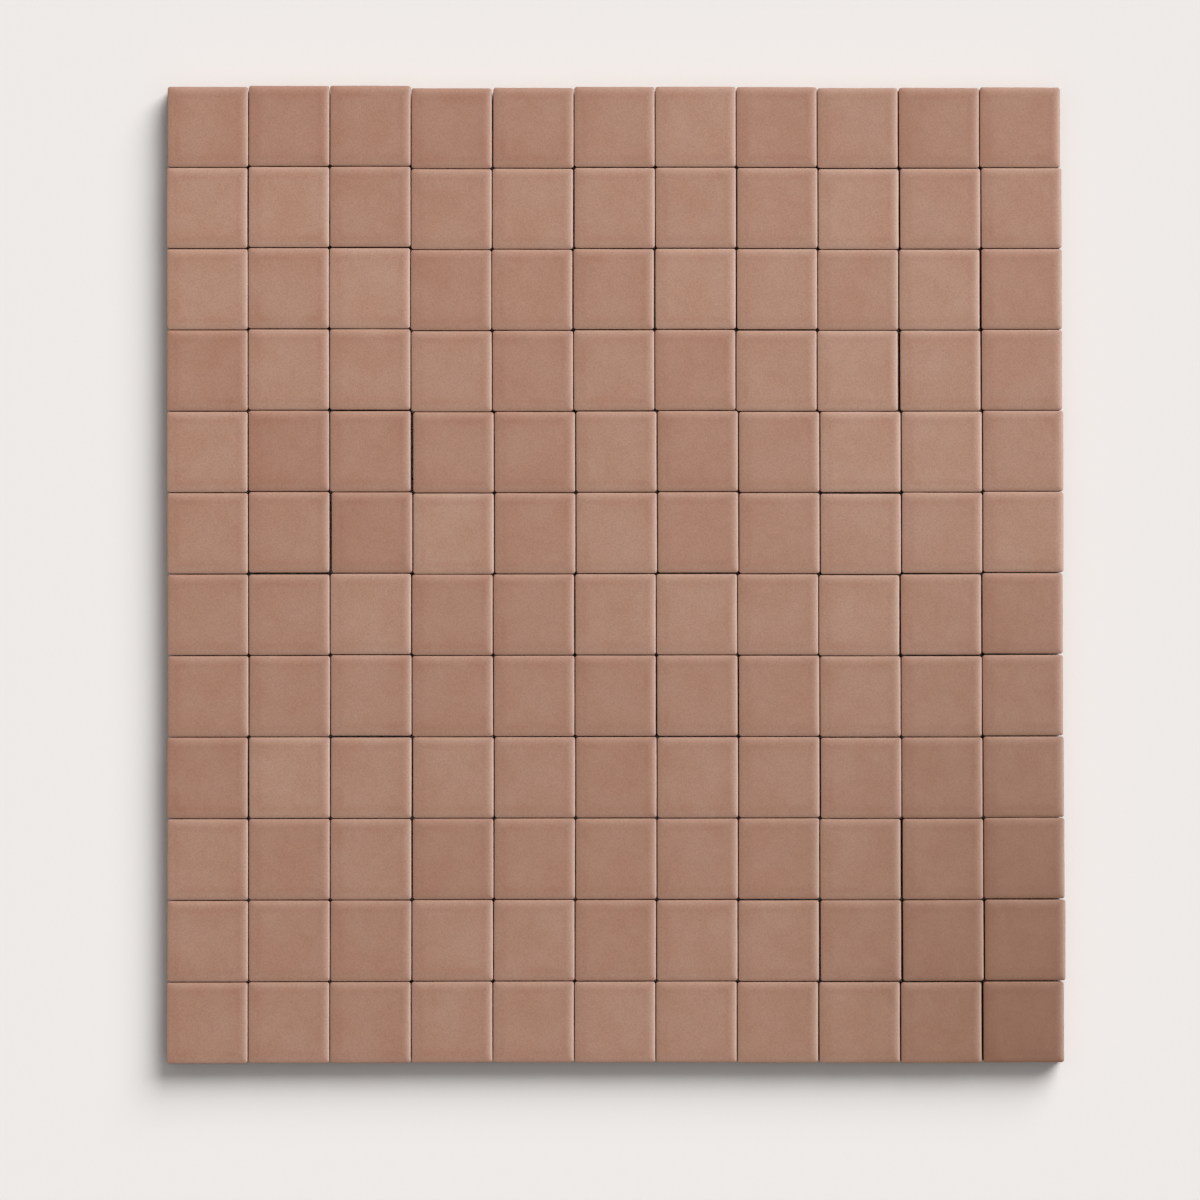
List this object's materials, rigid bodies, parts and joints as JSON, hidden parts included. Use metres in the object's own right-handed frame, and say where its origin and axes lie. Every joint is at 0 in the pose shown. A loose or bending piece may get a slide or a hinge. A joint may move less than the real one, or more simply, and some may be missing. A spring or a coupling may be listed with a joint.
{
  "type": "mosaic tile sheet",
  "caption": "Flat sheet of small square cushion-edged ceramic tiles with narrow open joints, held together by a glass-fibre net glued to their backs.",
  "frame": {"origin": "centre of the net's underside", "axes": "+Z out of the glazed faces, +X to the right along the rows, +Y up the columns, as the picture shows the sheet"},
  "size_m": [0.2795, 0.3044, 0.0085],
  "materials": {
    "glazed_tile": "satin",
    "net": "matte"
  },
  "bodies": {
    "root": {"tile_row_01": "glazed_tile", "tile_row_02": "glazed_tile", "tile_row_03": "glazed_tile", "tile_row_04": "glazed_tile", "tile_row_05": "glazed_tile", "tile_row_06": "glazed_tile", "tile_row_07": "glazed_tile", "tile_row_08": "glazed_tile", "tile_row_09": "glazed_tile", "tile_row_10": "glazed_tile", "tile_row_11": "glazed_tile", "tile_row_12": "glazed_tile", "net_warp": "net", "net_weft": "net"}
  },
  "joints": []
}
